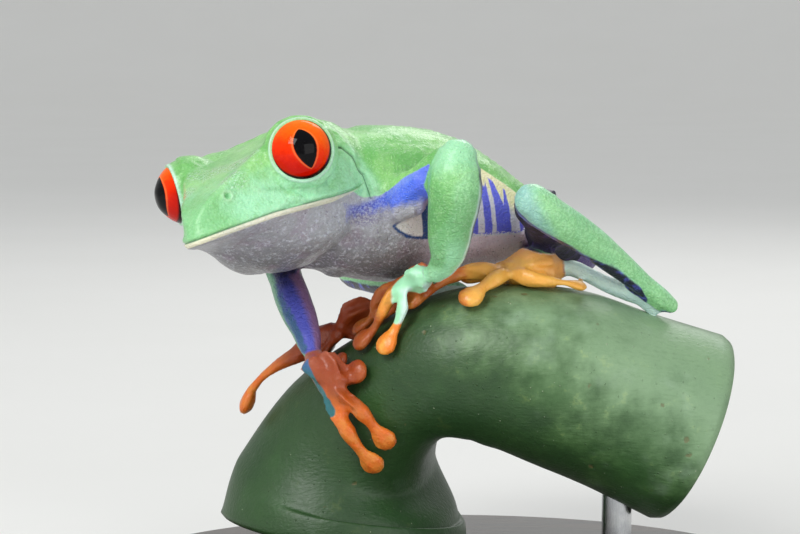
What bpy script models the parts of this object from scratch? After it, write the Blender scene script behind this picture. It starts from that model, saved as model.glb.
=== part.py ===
import math

import bmesh
import bpy
from mathutils import Vector

# Red-eyed tree frog gripping a cut length of stem, on a plain stand.
# Everything is built in millimetres and scaled to metres at the end.
for ob in list(bpy.data.objects):
    bpy.data.objects.remove(ob, do_unlink=True)

mm = 0.001
gap = 0.3
sliver = 0.0005

# head: origin midway between the eyeballs, axes forward, left, up
headAt = Vector((-21.4, -7.6, 46.5))
headFwd = Vector((-0.515, -0.852, -0.093)).normalized()
headLeft = Vector((0.800, -0.513, 0.310)).normalized()
headUp = headFwd.cross(headLeft).normalized()
headLeft = headUp.cross(headFwd)
eyeSpread = 7.65
eyeRadius = 3.45
eyeTurn = math.radians(43.5)
eyeLift = math.radians(3.5)
orbitRadius = 3.92
nostrilAt = (8.0, 3.1, -2.1)
nostrilRadius = 0.35

# trunk
trunkSides = 20

# stem and stand: the bend is pinched on its inner side
bendAt, bendPinch = 2.6, 0.3
stemSides = 20
baseLength, baseWidth, baseThick = 74.0, 56.0, 3.0
rodRadius = 1.6
rodSocket, rodSink = 3.0, 2.0

# digits
padWide, padThick = 1.3, 0.6
padRings = [(-1.7, 0.5), (-0.9, 0.8), (0.0, 1.0), (0.7, 0.8)]
webThick = 0.3
webReach = 0.7


def spline(keys, t):
    """Catmull-Rom through the keys, t from 0 to len(keys) - 1."""
    last = len(keys) - 1
    i = min(max(int(t), 0), last - 1)
    u = t - i

    def key(j):
        if j < 0:
            return [2 * a - b for a, b in zip(keys[0], keys[1])]
        if j > last:
            return [2 * a - b for a, b in zip(keys[last], keys[last - 1])]
        return keys[j]

    quad = zip(key(i - 1), key(i), key(i + 1), key(i + 2))
    return [0.5 * (2 * b + (c - a) * u + (2 * a - 5 * b + 4 * c - d) * u * u
                   + (3 * b - a - 3 * c + d) * u ** 3) for a, b, c, d in quad]


def bridgeRings(bm, rings):
    """Skin a row of point rings and close both ends."""
    rows = [[bm.verts.new(p) for p in ring] for ring in rings]
    for a, b in zip(rows, rows[1:]):
        n = len(a)
        for k in range(n):
            bm.faces.new((a[k], a[(k + 1) % n], b[(k + 1) % n], b[k]))
    for row, order in ((rows[0], -1), (rows[-1], 1)):
        middle = bm.verts.new(sum((v.co for v in row), Vector()) / len(row))
        n = len(row)
        for k in range(n):
            pair = (row[k], row[(k + 1) % n])[::order]
            bm.faces.new((pair[0], pair[1], middle))


def toObject(bm, name):
    bm.normal_update()
    bmesh.ops.recalc_face_normals(bm, faces=bm.faces)
    mesh = bpy.data.meshes.new(name)
    bm.to_mesh(mesh)
    bm.free()
    ob = bpy.data.objects.new(name, mesh)
    bpy.context.scene.collection.objects.link(ob)
    return ob


def tube(name, keys, sides=10, perKey=1, side=(0, 0, 1), capSteps=2, carry=True):
    """Rounded limb through keys (x, y, z, radius, flatness); it is squashed along `side`."""
    keys = [tuple(k) + (1.0,) * (5 - len(k)) for k in keys]
    count = (len(keys) - 1) * perKey
    line = [spline(keys, i / perKey) for i in range(count + 1)]
    centres = [Vector(p[:3]) for p in line]
    ref = Vector(side)
    points = []
    for i, (x, y, z, r, flat) in enumerate(line):
        along = (centres[min(i + 1, count)] - centres[max(i - 1, 0)]).normalized()
        v = (ref - ref.dot(along) * along).normalized()
        u = along.cross(v)
        if carry:
            ref = v
        angles = [0.0]
        if i == 0:
            angles = [-a for a in capAngles(capSteps)] + angles
        if i == count:
            angles += capAngles(capSteps)[::-1]
        for a in angles:
            q = r * math.cos(a)
            o = centres[i] + along * (r * flat * math.sin(a))
            points.append([o + u * (q * math.cos(w)) + v * (q * flat * math.sin(w))
                           for w in (2 * math.pi * k / sides for k in range(sides))])
    bm = bmesh.new()
    bridgeRings(bm, points)
    return toObject(bm, name)


def capAngles(steps):
    return [math.radians(80) * (steps - k) / steps for k in range(steps)]


def grown(ob, by):
    """A copy of the object with its skin moved outwards."""
    bm = bmesh.new()
    bm.from_mesh(ob.data)
    bm.normal_update()
    moved = [(v, v.co + v.normal * by * v.calc_shell_factor()) for v in bm.verts]
    for v, p in moved:
        v.co = p
    return toObject(bm, ob.name + "_grown")


def tidied(mesh):
    """Drop the slivers that a Boolean leaves."""
    bm = bmesh.new()
    bm.from_mesh(mesh)
    bmesh.ops.triangulate(bm, faces=bm.faces)
    bmesh.ops.remove_doubles(bm, verts=bm.verts, dist=sliver)
    bmesh.ops.dissolve_degenerate(bm, dist=sliver, edges=bm.edges)
    bmesh.ops.triangulate(bm, faces=bm.faces)
    bm.to_mesh(mesh)
    bm.free()
    return mesh


def combine(ob, others, operation):
    """Boolean the others into the object, then drop them."""
    for other in others:
        mod = ob.modifiers.new("join", "BOOLEAN")
        mod.operation, mod.object, mod.solver = operation, other, "EXACT"
        mod.use_self = operation == "UNION"
        graph = bpy.context.evaluated_depsgraph_get()
        mesh = tidied(bpy.data.meshes.new_from_object(ob.evaluated_get(graph)))
        ob.modifiers.clear()
        ob.data = mesh
        bpy.data.objects.remove(other, do_unlink=True)
    return ob


def fitTo(ob, *neighbours):
    """Hollow the object's end so that it meets its neighbours with the gap."""
    return combine(ob, [grown(n, gap) for n in neighbours], "DIFFERENCE")


def ball(name, at, radius, rings, sides, pole=Vector((0, 0, 1))):
    bm = bmesh.new()
    bmesh.ops.create_uvsphere(bm, u_segments=sides, v_segments=rings, radius=radius)
    turn = pole.to_track_quat("Z", "Y").to_matrix()
    for v in bm.verts:
        v.co = at + turn @ v.co
    return toObject(bm, name)


# ---- stem: keys x, y, z, radius up the left leg and over the arch
stemKeys = [(-11.3, 5.3, 5.8, 14.0), (-10.6, 5.5, 10.5, 13.0), (-8.5, 3.9, 16.4, 10.5),
            (-3.7, -0.5, 22.5, 8.2), (1.2, -3.0, 25.2, 8.4), (6.2, -4.0, 25.5, 9.0),
            (12.1, -4.3, 24.3, 9.8), (18.3, -3.5, 21.9, 10.05), (26.2, -2.4, 18.6, 10.8)]


def stemFrame(s):
    p = spline(stemKeys, s)
    a, b = spline(stemKeys, max(s - 0.01, 0)), spline(stemKeys, min(s + 0.01, 8))
    along = (Vector(b[:3]) - Vector(a[:3])).normalized()
    front = Vector((0, -1, 0))
    front = (front - front.dot(along) * along).normalized()
    return Vector(p[:3]), p[3], along, front, front.cross(along)


def onStem(s, degrees, lift):
    """A point above the stem's skin: 0 degrees on its crest, 90 on its front."""
    c, r, along, front, crest = stemFrame(s)
    a = math.radians(degrees)
    return c + (r + lift) * (crest * math.cos(a) + front * math.sin(a))


def stemNormal(s, degrees, *lift):
    return (onStem(s, degrees, 1) - onStem(s, degrees, 0)).normalized()


# ---- digits and pads on the stem
def digit(name, path, pad, thick, padSize=1.0):
    """A digit along a path of points, ending in a round flat pad that lies on the stem."""
    n = stemNormal(*pad)
    tip = onStem(pad[0], pad[1], gap + padThick * padSize + (pad[2] if len(pad) > 2 else 0))
    points = [Vector(p) for p in path]
    along = tip - points[-1]
    along = (along - along.dot(n) * n).normalized()
    keys = [(*p, thick * (1.15 if i == 0 else 1.0), 0.95) for i, p in enumerate(points)]
    for step, wide in padRings:
        p = tip + along * (step * padSize)
        keys.append((*p, padWide * padSize * wide, padThick / padWide / wide ** 0.5))
    return tube(name, keys, sides=6, capSteps=1, side=n, carry=False)


def palm(name, points):
    """A rounded slab round the given (point, radius) knobs."""
    knobs = bmesh.new()
    for at, radius in points:
        made = bmesh.ops.create_icosphere(knobs, subdivisions=1, radius=radius)
        bmesh.ops.translate(knobs, verts=made["verts"], vec=Vector(at))
    bm = bmesh.new()
    for v in knobs.verts:
        bm.verts.new(v.co)
    knobs.free()
    bmesh.ops.convex_hull(bm, input=bm.verts)
    bmesh.ops.delete(bm, geom=[v for v in bm.verts if not v.link_faces], context="VERTS")
    return toObject(bm, name)


# ---- head: stations along its length
# forward, top, brow (left, up), cheek (left, up), lip (left, up), throat side (left, up), bottom
headStations = [
    (11.7, -4.6, 0.4, -4.7, 0.6, -5.0, 0.9, -5.45, 0.6, -5.8, -5.9),
    (11.1, -3.3, 0.9, -3.4, 1.3, -4.4, 1.8, -5.5, 1.3, -6.0, -6.15),
    (9.8, -2.1, 1.8, -2.2, 2.2, -3.9, 2.8, -5.5, 2.2, -6.1, -6.3),
    (7.7, -1.0, 2.7, -1.1, 3.4, -3.3, 4.3, -5.5, 2.9, -6.25, -6.6),
    (5.0, 0.1, 4.2, 0.1, 5.1, -2.7, 6.1, -5.5, 3.4, -6.7, -7.1),
    (2.2, 1.0, 5.8, 1.8, 6.7, -2.1, 7.5, -5.4, 4.2, -8.6, -9.6),
    (-0.8, 1.6, 6.8, 2.8, 8.0, -1.5, 8.5, -5.3, 5.6, -9.6, -10.9),
    (-4.2, 2.5, 6.6, 3.0, 8.6, -1.2, 9.0, -5.2, 6.6, -9.6, -11.3),
    (-8.0, 3.4, 6.2, 2.4, 8.9, -1.3, 9.1, -5.0, 7.6, -8.8, -10.8),
    (-12.0, 3.4, 5.2, 1.9, 7.9, -1.6, 7.9, -4.9, 6.9, -7.9, -9.4),
    (-16.0, 2.2, 3.0, 1.0, 4.6, -1.8, 4.6, -4.0, 4.0, -5.8, -6.6),
]
mouthEnd = -6.4
lipStep = 0.5
neckCut = -8.3


def headPoint(f, left, up):
    return headAt + headFwd * f + headLeft * left + headUp * up


def headRing(row):
    f, top, bl, bu, cl, cu, ll, lu, tl, tu, bottom = row
    size = min(ll / 6, 1.0)
    step = lipStep * size * min(max((f - mouthEnd) / 2.0, 0.0), 1.0)
    half = [(0, top), (bl * 0.55, top * 0.7 + bu * 0.3), (bl, bu), (cl, cu), (ll, lu),
            (ll - step, lu - 0.4 * size), (tl, tu), (tl * 0.5, (tu + 2 * bottom) / 3), (0, bottom)]
    per = [2, 2, 3, 2, 1, 2, 1, 1]
    side = []
    for i, count in enumerate(per):
        for k in range(count):
            side.append(spline(half, i + k / count) if i != 4 else list(half[4]))
    left = [headPoint(f, a, b) for a, b in side] + [headPoint(f, 0, bottom)]
    right = [headPoint(f, -a, b) for a, b in side[1:]]
    return left + right[::-1]


def makeHead():
    rows = [spline(headStations, i / 2) for i in range(2 * len(headStations) - 1)]
    bm = bmesh.new()
    bridgeRings(bm, [headRing(row) for row in rows])
    return toObject(bm, "head")


def eyeAxis(side):
    out = headFwd * math.cos(eyeTurn) + headLeft * (side * math.sin(eyeTurn))
    return (out * math.cos(eyeLift) + headUp * math.sin(eyeLift)).normalized()


# ---- trunk: x, y, z, half width, height above, depth below
trunkKeys = [(-19.0, -3.4, 44.6, 6.6, 4.6, 6.4), (-16.0, -0.6, 43.8, 8.1, 6.6, 7.6),
             (-11.5, 1.2, 42.7, 8.9, 8.0, 8.0), (-6.5, 3.4, 42.0, 9.3, 8.8, 8.1),
             (-1.0, 5.8, 41.8, 9.1, 8.1, 7.4), (3.5, 7.7, 41.0, 8.3, 6.6, 6.4),
             (8.0, 9.5, 39.2, 7.1, 4.8, 4.3), (12.0, 11.3, 37.4, 5.7, 3.6, 3.3),
             (15.2, 12.9, 36.0, 3.6, 2.5, 2.2), (16.6, 13.6, 35.4, 1.4, 1.1, 0.9)]


def makeTrunk():
    count = (len(trunkKeys) - 1) * 2
    line = [spline(trunkKeys, i / 2) for i in range(count + 1)]
    rings = []
    for i, (x, y, z, wide, above, below) in enumerate(line):
        a, b = line[max(i - 1, 0)], line[min(i + 1, count)]
        along = Vector((b[0] - a[0], b[1] - a[1], 0)).normalized()
        side = Vector((-along.y, along.x, 0))
        ring = []
        for k in range(trunkSides):
            w = 2 * math.pi * k / trunkSides
            c, s = math.cos(w), math.sin(w)
            c = math.copysign(abs(c) ** 0.92, c)
            rise = (above if s > 0 else below) * math.copysign(abs(s) ** 0.92, s)
            ring.append(Vector((x, y, z)) + side * (wide * c) + Vector((0, 0, rise)))
        rings.append(ring)
    bm = bmesh.new()
    bridgeRings(bm, rings)
    return toObject(bm, "trunk")


def slab(name, at, normal, side):
    """A big block on one side of a plane."""
    bm = bmesh.new()
    turn = normal.to_track_quat("Z", "Y").to_matrix()
    bmesh.ops.create_cube(bm, size=80)
    for v in bm.verts:
        v.co = at + turn @ (v.co + Vector((0, 0, side * 40)))
    return toObject(bm, name)


head = makeHead()
orbits = []
for side, word in ((1, "left"), (-1, "right")):
    centre = headPoint(0, side * eyeSpread, 0)
    orbits.append(ball("orbit_" + word, centre - eyeAxis(side) * 0.3 - headUp * 0.15, orbitRadius,
                       9, 16, eyeAxis(side)))
combine(head, orbits, "UNION")
trunk = makeTrunk()
combine(trunk, [head], "UNION")
head = bpy.data.objects.new("head", trunk.data.copy())
bpy.context.scene.collection.objects.link(head)
neck = headPoint(neckCut, 0, -3)
combine(head, [slab("behind", neck + headFwd * gap, headFwd, -1)], "DIFFERENCE")
combine(trunk, [slab("ahead", neck, headFwd, 1)], "DIFFERENCE")

for side, word in ((1, "left"), (-1, "right")):
    centre = headPoint(0, side * eyeSpread, 0)
    pit = headPoint(nostrilAt[0], side * nostrilAt[1], nostrilAt[2])
    combine(head, [ball("socket", centre, eyeRadius + gap, 9, 16, eyeAxis(side)),
                   ball("nostril", pit, nostrilRadius, 3, 6)], "DIFFERENCE")
    ball("eye_" + word, centre, eyeRadius, 9, 16, eyeAxis(side))

# ---- arms
armLeft = tube("upper_arm_left", [(-8.8, -1.5, 40.6, 2.2), (-6.6, -4.6, 42.2, 1.95),
                                  (-2.9, -8.1, 45.4, 1.65), (0.0, -10.2, 47.6, 1.9)])
foreLeft = tube("forearm_left", [(0.9, -10.8, 48.0, 2.1), (0.7, -11.0, 46.4, 2.65), (0.6, -10.8, 43.5, 2.65),
                                 (0.3, -10.5, 41.5, 2.4), (0.0, -10.0, 38.9, 2.05), (-0.4, -9.5, 37.2, 1.5),
                                 (-1.3, -8.8, 36.1, 1.1)], sides=12)
armRight = tube("upper_arm_right", [(-10.4, 7.8, 41.2, 2.2), (-13.4, 10.4, 38.8, 1.9),
                                    (-16.6, 9.2, 37.0, 1.7), (-18.4, 6.8, 36.1, 1.8)])
foreRight = tube("forearm_right", [(-18.3, 6.0, 35.9, 1.75), (-17.4, 2.9, 34.0, 1.8), (-16.2, -0.6, 31.4, 1.85),
                                   (-15.1, -2.8, 29.2, 1.5), (-14.5, -4.2, 27.4, 1.1)], sides=12)
fitTo(foreRight, trunk)
fitTo(armLeft, trunk, foreLeft)
combine(armLeft, [slab("ahead", neck, headFwd, 1)], "DIFFERENCE")
fitTo(armRight, trunk, foreRight)


def makeHand(name, knobs, digits, wrist, webs=()):
    """Palm, digits (path, pad spot, thickness, pad size), webs between them, cut to the wrist."""
    hand = palm(name, knobs)
    made = [digit(name + str(i), *spec) for i, spec in enumerate(digits)]
    combine(hand, made, "UNION")
    for a, b in webs:
        ends = [digits[i][0][0] * (1 - reach) + Vector(digits[i][0][-1]) * reach
                for i, reach in ((a, 0.0), (a, webReach), (b, 0.0), (b, webReach))]
        combine(hand, [palm(name + "_web", [(p, webThick) for p in ends])], "UNION")
    return fitTo(hand, wrist)


V = Vector
makeHand("hand_left",
         [((-1.9, -8.4, 35.8), 0.85), ((-4.3, -6.5, 34.8), 0.8), ((-5.2, -4.9, 34.2), 0.8)],
         [([V((-4.5, -6.5, 34.6)), V((-4.7, -7.7, 32.4))], (3.5, 47), 0.66, 0.95),
          ([V((-5.0, -5.9, 34.3)), V((-6.8, -6.4, 31.8))], (3.18, 28), 0.66, 0.95),
          ([V((-5.5, -5.0, 34.2)), V((-7.6, -3.4, 32.3))], (3.1, 7), 0.62, 0.9),
          ([V((-5.3, -5.4, 34.2))], (3.4, 11), 0.6, 0.85)],
         foreLeft, webs=((0, 1), (1, 3), (2, 3)))
makeHand("hand_right",
         [((-14.2, -4.9, 26.6), 1.0), ((-12.2, -6.8, 23.2), 1.1), ((-12.7, -5.9, 25.0), 0.9),
          ((-11.4, -7.1, 24.4), 1.0)],
         [([V((-12.4, -6.8, 23.2)), onStem(2.72, 74, 1.5)], (2.6, 98), 0.85, 1.0),
          ([V((-11.8, -7.1, 23.6)), onStem(2.97, 74, 1.6)], (2.92, 96), 0.85, 1.0),
          ([V((-11.5, -7.0, 24.6))], (3.08, 49), 0.75, 1.0),
          ([V((-12.3, -6.0, 25.2))], (2.9, 29), 0.7, 0.9)],
         foreRight, webs=((0, 1), (1, 2)))

# ---- hind legs
legKeys = {
    "left": dict(
        thigh=[(12.6, 10.4, 37.2, 2.9), (12.4, 5.2, 38.3, 2.8), (11.2, -1.9, 40.3, 2.6),
               (9.6, -8.6, 42.4, 2.2), (8.6, -12.2, 43.4, 1.9)],
        shank=[(8.5, -13.4, 43.9, 1.8), (10.4, -12.5, 42.4, 1.9), (13.7, -10.3, 40.2, 1.75),
               (17.1, -8.0, 37.5, 1.5), (20.8, -5.9, 34.4, 1.1), (23.7, -4.4, 32.1, 0.85)],
        tarsus=[(23.3, -4.2, 31.95, 0.7), (20.5, -4.4, 33.05, 0.9), (17.0, -4.4, 34.35, 0.85),
                (14.7, -4.3, 35.5, 0.8), (13.1, -4.1, 36.1, 0.85)]),
    "right": dict(
        thigh=[(11.8, 11.2, 36.8, 2.7), (9.4, 18.4, 36.0, 2.7), (2.0, 22.2, 35.0, 2.5),
               (-6.0, 24.6, 33.8, 2.1), (-9.6, 25.2, 33.2, 1.9)],
        shank=[(-10.6, 24.6, 32.8, 1.8), (-9.0, 21.6, 32.6, 1.9), (-5.6, 16.4, 32.4, 1.75),
               (-2.0, 11.2, 32.4, 1.5), (0.8, 7.4, 32.4, 1.1), (2.0, 5.8, 32.2, 0.85)],
        tarsus=[(*onStem(4.15, -50, 1.5), 0.85), (*onStem(3.85, -42, 1.3), 0.9),
                (*onStem(3.55, -30, 1.25), 0.85), (*onStem(3.25, -18, 1.25), 0.85)]),
}
leg = {}
for word, keys in legKeys.items():
    for part in ("thigh", "shank", "tarsus"):
        leg[part + word] = tube(part + "_" + word, keys[part])
    fitTo(leg["thigh" + word], trunk)
    fitTo(leg["thigh" + word], leg["shank" + word])
    fitTo(leg["tarsus" + word], leg["shank" + word])


makeHand("foot_left",
         [((12.6, -4.0, 36.0), 0.8), (onStem(5.05, 6, 1.4), 0.95), (onStem(4.8, 0, 1.5), 0.8)],
         [([onStem(4.85, 12, 1.3)], (4.5, 34), 0.7, 1.05),
          ([onStem(4.78, 5, 1.4), onStem(4.3, 10, 1.6)], (3.82, 19), 0.68, 0.95),
          ([onStem(4.85, 2, 1.5)], (4.42, 0), 0.68, 1.0),
          ([onStem(4.9, -4, 1.4)], (4.85, -32), 0.62, 0.9),
          ([onStem(5.05, 10, 1.3), onStem(5.42, 16, 1.1)], (5.85, 12), 0.7, 0.85)],
         leg["tarsusleft"], webs=((0, 2), (1, 2), (2, 3)))
makeHand("foot_right",
         [(onStem(3.18, -15, 1.3), 0.85), (onStem(2.85, -4, 1.6), 1.0), (onStem(2.88, -16, 1.4), 0.9)],
         [([onStem(2.85, 0, 1.5)], (2.6, 9), 0.7, 0.95),
          ([onStem(2.8, -4, 1.7), onStem(2.35, -3, 2.1)], (1.7, -6, 1.5), 0.95, 1.1),
          ([onStem(2.8, -12, 1.5)], (2.35, -27), 0.7, 0.95),
          ([onStem(2.9, -18, 1.4)], (2.72, -38), 0.66, 0.9),
          ([onStem(3.0, -18, 1.3)], (3.08, -42), 0.6, 0.85)],
         leg["tarsusright"], webs=((0, 1), (1, 2), (2, 3)))


# ---- the cut stem
def makeStem():
    steps = 14
    bm = bmesh.new()
    rings = []
    for i in range(steps + 1):
        s = 8 * i / steps
        c, r, along, front, crest = stemFrame(s)
        ring = []
        pinch = bendPinch * math.exp(-(s - bendAt) ** 2)
        for k in range(stemSides):
            w = 2 * math.pi * k / stemSides
            inner = min(math.cos(w), 0) ** 2
            ring.append(c + (crest * math.cos(w) + front * math.sin(w)) * (r * (1 - pinch * inner)))
        rings.append(ring)
    bridgeRings(bm, rings)
    return toObject(bm, "perch_stem")


def cylinder(name, at, radius, bottom, top, sides=16):
    bm = bmesh.new()
    bmesh.ops.create_cone(bm, cap_ends=True, segments=sides, radius1=radius, radius2=radius, depth=top - bottom)
    bmesh.ops.translate(bm, verts=bm.verts, vec=Vector((at[0], at[1], (top + bottom) / 2)))
    return toObject(bm, name)


def makeBase():
    bm = bmesh.new()
    sides = 32
    verts = []
    for k in range(sides):
        w = 2 * math.pi * k / sides
        verts.append(bm.verts.new((baseLength / 2 * math.cos(w), baseWidth / 2 * math.sin(w), 0)))
    face = bm.faces.new(verts)
    made = bmesh.ops.extrude_face_region(bm, geom=[face])
    top = [g for g in made["geom"] if isinstance(g, bmesh.types.BMVert)]
    bmesh.ops.translate(bm, verts=top, vec=(0, 0, baseThick))
    rim = [e for e in bm.edges if all(v in top for v in e.verts)]
    bmesh.ops.bevel(bm, geom=rim, offset=0.8, segments=1, profile=0.5, affect="EDGES", material=-1)
    return toObject(bm, "stand_base")


stem = makeStem()
base = makeBase()
rodSpots = {"stand_rod_left": (stemKeys[0][0], stemKeys[0][1], stemKeys[0][2]),
            "stand_rod_right": (18.3, -3.5, 12.0)}
for name, (x, y, under) in rodSpots.items():
    top = under + rodSocket
    combine(stem, [cylinder("hole", (x, y), rodRadius + gap, -5, top + gap)], "DIFFERENCE")
    combine(base, [cylinder("hole", (x, y), rodRadius + gap, baseThick - rodSink, 20)], "DIFFERENCE")
    cylinder(name, (x, y), rodRadius, baseThick - rodSink + gap, top)

# ---- materials, then metres
looks = {
    "skin_green": ((0.32, 0.56, 0.20, 1), 0.45), "skin_blue": ((0.10, 0.12, 0.62, 1), 0.45),
    "skin_orange": ((0.90, 0.28, 0.03, 1), 0.45), "eye_red": ((0.80, 0.05, 0.01, 1), 0.08),
    "stem_green": ((0.10, 0.22, 0.06, 1), 0.5), "stand_dark": ((0.04, 0.04, 0.05, 1), 0.4),
    "stand_metal": ((0.60, 0.60, 0.62, 1), 0.3),
}
wears = (("eye", "eye_red"), ("hand", "skin_orange"), ("foot", "skin_orange"), ("upper_arm", "skin_blue"),
         ("thigh", "skin_blue"), ("perch", "stem_green"), ("stand_base", "stand_dark"),
         ("stand_rod", "stand_metal"), ("", "skin_green"))
for ob in list(bpy.data.objects):
    look = next(slot for start, slot in wears if ob.name.startswith(start))
    mat = bpy.data.materials.new(ob.name + "_" + look)
    mat.use_nodes = True
    shader = mat.node_tree.nodes["Principled BSDF"]
    shader.inputs["Base Color"].default_value = looks[look][0]
    shader.inputs["Roughness"].default_value = looks[look][1]
    ob.data.materials.clear()
    ob.data.materials.append(mat)
    for v in ob.data.vertices:
        v.co *= mm
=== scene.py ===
import math

import bmesh
import bpy
import numpy as np
from mathutils import Matrix, Vector
from mathutils.bvhtree import BVHTree


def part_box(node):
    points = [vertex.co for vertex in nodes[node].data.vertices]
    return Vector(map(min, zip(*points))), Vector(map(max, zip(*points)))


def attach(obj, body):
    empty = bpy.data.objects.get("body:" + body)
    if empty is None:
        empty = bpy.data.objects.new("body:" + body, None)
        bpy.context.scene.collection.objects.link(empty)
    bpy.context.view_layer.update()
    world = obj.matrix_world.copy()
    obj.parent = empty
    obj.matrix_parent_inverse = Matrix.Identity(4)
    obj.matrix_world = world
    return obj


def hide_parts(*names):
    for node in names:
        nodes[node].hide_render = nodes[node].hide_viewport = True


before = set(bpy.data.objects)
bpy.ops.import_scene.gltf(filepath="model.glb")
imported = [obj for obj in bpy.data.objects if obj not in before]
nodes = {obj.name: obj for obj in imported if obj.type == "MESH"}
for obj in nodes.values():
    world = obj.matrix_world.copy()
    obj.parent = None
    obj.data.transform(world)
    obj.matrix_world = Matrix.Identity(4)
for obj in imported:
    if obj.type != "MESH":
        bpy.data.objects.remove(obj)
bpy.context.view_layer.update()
mm = 0.001

# head frame, in millimetres: forward, left, up from the point midway between the eyeballs
eyeMid = {side: sum(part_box("eye_" + side), Vector()) / 2 / mm for side in ("left", "right")}
headAt = (eyeMid["left"] + eyeMid["right"]) / 2
headLeft = (eyeMid["left"] - eyeMid["right"]).normalized()
headFwd = Vector((-0.515, -0.852, -0.093))
headFwd = (headFwd - headFwd.dot(headLeft) * headLeft).normalized()
headUp = headFwd.cross(headLeft)
eyeSpot = dict(turn=math.radians(43.5), lift=math.radians(3.5), radius=3.45, opening=62.5)

# trunk frame, in millimetres: how far along the back towards the rump
trunkAt = Vector((-11.5, 1.2, 0))
trunkBack = Vector((0.902, 0.431, 0)).normalized()


def eyeAxis(side):
    sign = 1 if side == "left" else -1
    out = headFwd * math.cos(eyeSpot["turn"]) + headLeft * (sign * math.sin(eyeSpot["turn"]))
    return (out * math.cos(eyeSpot["lift"]) + headUp * math.sin(eyeSpot["lift"])).normalized()


def toObject(bm, name, sharp=None, unit=mm):
    # smooth, but for edges sharper than so many degrees
    bmesh.ops.scale(bm, verts=bm.verts, vec=(unit, unit, unit))
    mesh = bpy.data.meshes.new(name)
    bm.to_mesh(mesh)
    bm.free()
    mesh.shade_smooth()
    if sharp:
        mesh.set_sharp_from_angle(angle=math.radians(sharp))
    ob = bpy.data.objects.new(name, mesh)
    bpy.context.scene.collection.objects.link(ob)
    return ob


def applied(ob):
    graph = bpy.context.evaluated_depsgraph_get()
    mesh = bpy.data.meshes.new_from_object(ob.evaluated_get(graph))
    ob.modifiers.clear()
    ob.data = mesh
    return ob


def turned(outline, steps):
    # a half section of (radius, height) points turned once round the upright axis
    bm = bmesh.new()
    verts = [bm.verts.new((a, 0, b)) for a, b in outline]
    edges = [bm.edges.new(pair) for pair in zip(verts, verts[1:])]
    bmesh.ops.spin(bm, geom=verts + edges, cent=(0, 0, 0), axis=(0, 0, 1), angle=2 * math.pi, steps=steps,
                   use_merge=True)
    bmesh.ops.remove_doubles(bm, verts=bm.verts, dist=1e-5)
    bmesh.ops.recalc_face_normals(bm, faces=bm.faces)
    return bm


def points(mesh):
    co = np.empty(len(mesh.vertices) * 3)
    mesh.vertices.foreach_get("co", co)
    return co.reshape(-1, 3)


def setPoints(mesh, co):
    mesh.vertices.foreach_set("co", co.astype(np.float32).ravel())
    mesh.update()


def normals(mesh):
    out = np.empty(len(mesh.vertices) * 3)
    mesh.vertex_normals.foreach_get("vector", out)
    return out.reshape(-1, 3)


def edgeList(mesh):
    ends = np.empty(len(mesh.edges) * 2, np.int64)
    mesh.edges.foreach_get("vertices", ends)
    return ends.reshape(-1, 2)


def relax(co, ends, rounds, weight, inwards=0.6, outwards=-0.61):
    # low-pass smoothing that keeps the volume: a pull in, then a push out
    n = len(co)
    a, b = ends.T
    count = np.bincount(a, minlength=n) + np.bincount(b, minlength=n)
    for i in range(rounds * 2):
        pull = np.empty_like(co)
        for k in range(co.shape[1]):
            pull[:, k] = np.bincount(a, co[b, k], n) + np.bincount(b, co[a, k], n)
        pull = pull / count[:, None] - co
        co = co + pull * ((inwards, outwards)[i % 2] * weight)[:, None]
    return co


def step(x, low, high):
    t = np.clip((x - low) / (high - low), 0, 1)
    return t * t * (3 - 2 * t)


def bell(x, width):
    return np.exp(-(x / width) ** 2)


def curveOf(keys, x):
    keys = np.array(sorted(keys))
    return np.interp(x, keys[:, 0], keys[:, 1])


def toPath(q, path):
    # distance to a row of points, and how far along it the nearest spot lies, from 0 to 1
    path = np.array(path, float)
    best = np.full(len(q), 99.0)
    along = np.zeros(len(q))
    for i, (a, b) in enumerate(zip(path, path[1:])):
        t = np.clip((q - a) @ (b - a) / ((b - a) @ (b - a)), 0, 1)
        d = np.linalg.norm(q - a - t[:, None] * (b - a), axis=1)
        near = d < best
        best[near] = d[near]
        along[near] = (i + t[near]) / (len(path) - 1)
    return best, along


def headCoords(co):
    # forward, left and up columns
    return (co - np.array(headAt)) @ np.array([headFwd, headLeft, headUp]).T


def store(mesh, name, values):
    mesh.attributes.new(name, "FLOAT", "POINT").data.foreach_set("value", values.astype(np.float32))


# skin: the flesh nodes are swollen to close the gaps, remeshed as one and shrunk back
skinSize = dict(swell=0.2, digitSwell=0.11, voxel=0.23, cuts=2, fill=3.4, seamWidth=1.9, most=194000)
smoothing = dict(first=10, mask=6, seam=26, shoulder=45, palm=55, last=8, face=3, marks=3)  # rounds
fleshNames = [n for n in nodes if not n.startswith(("eye", "perch", "stand"))]
pawNames = [n for n in fleshNames if n.startswith(("hand", "foot"))]


def welded(name):
    bm = bmesh.new()
    bm.from_mesh(nodes[name].data)
    bmesh.ops.remove_doubles(bm, verts=bm.verts, dist=1e-6)
    bmesh.ops.scale(bm, verts=bm.verts, vec=(1 / mm, 1 / mm, 1 / mm))
    bm.normal_update()
    return bm


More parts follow.
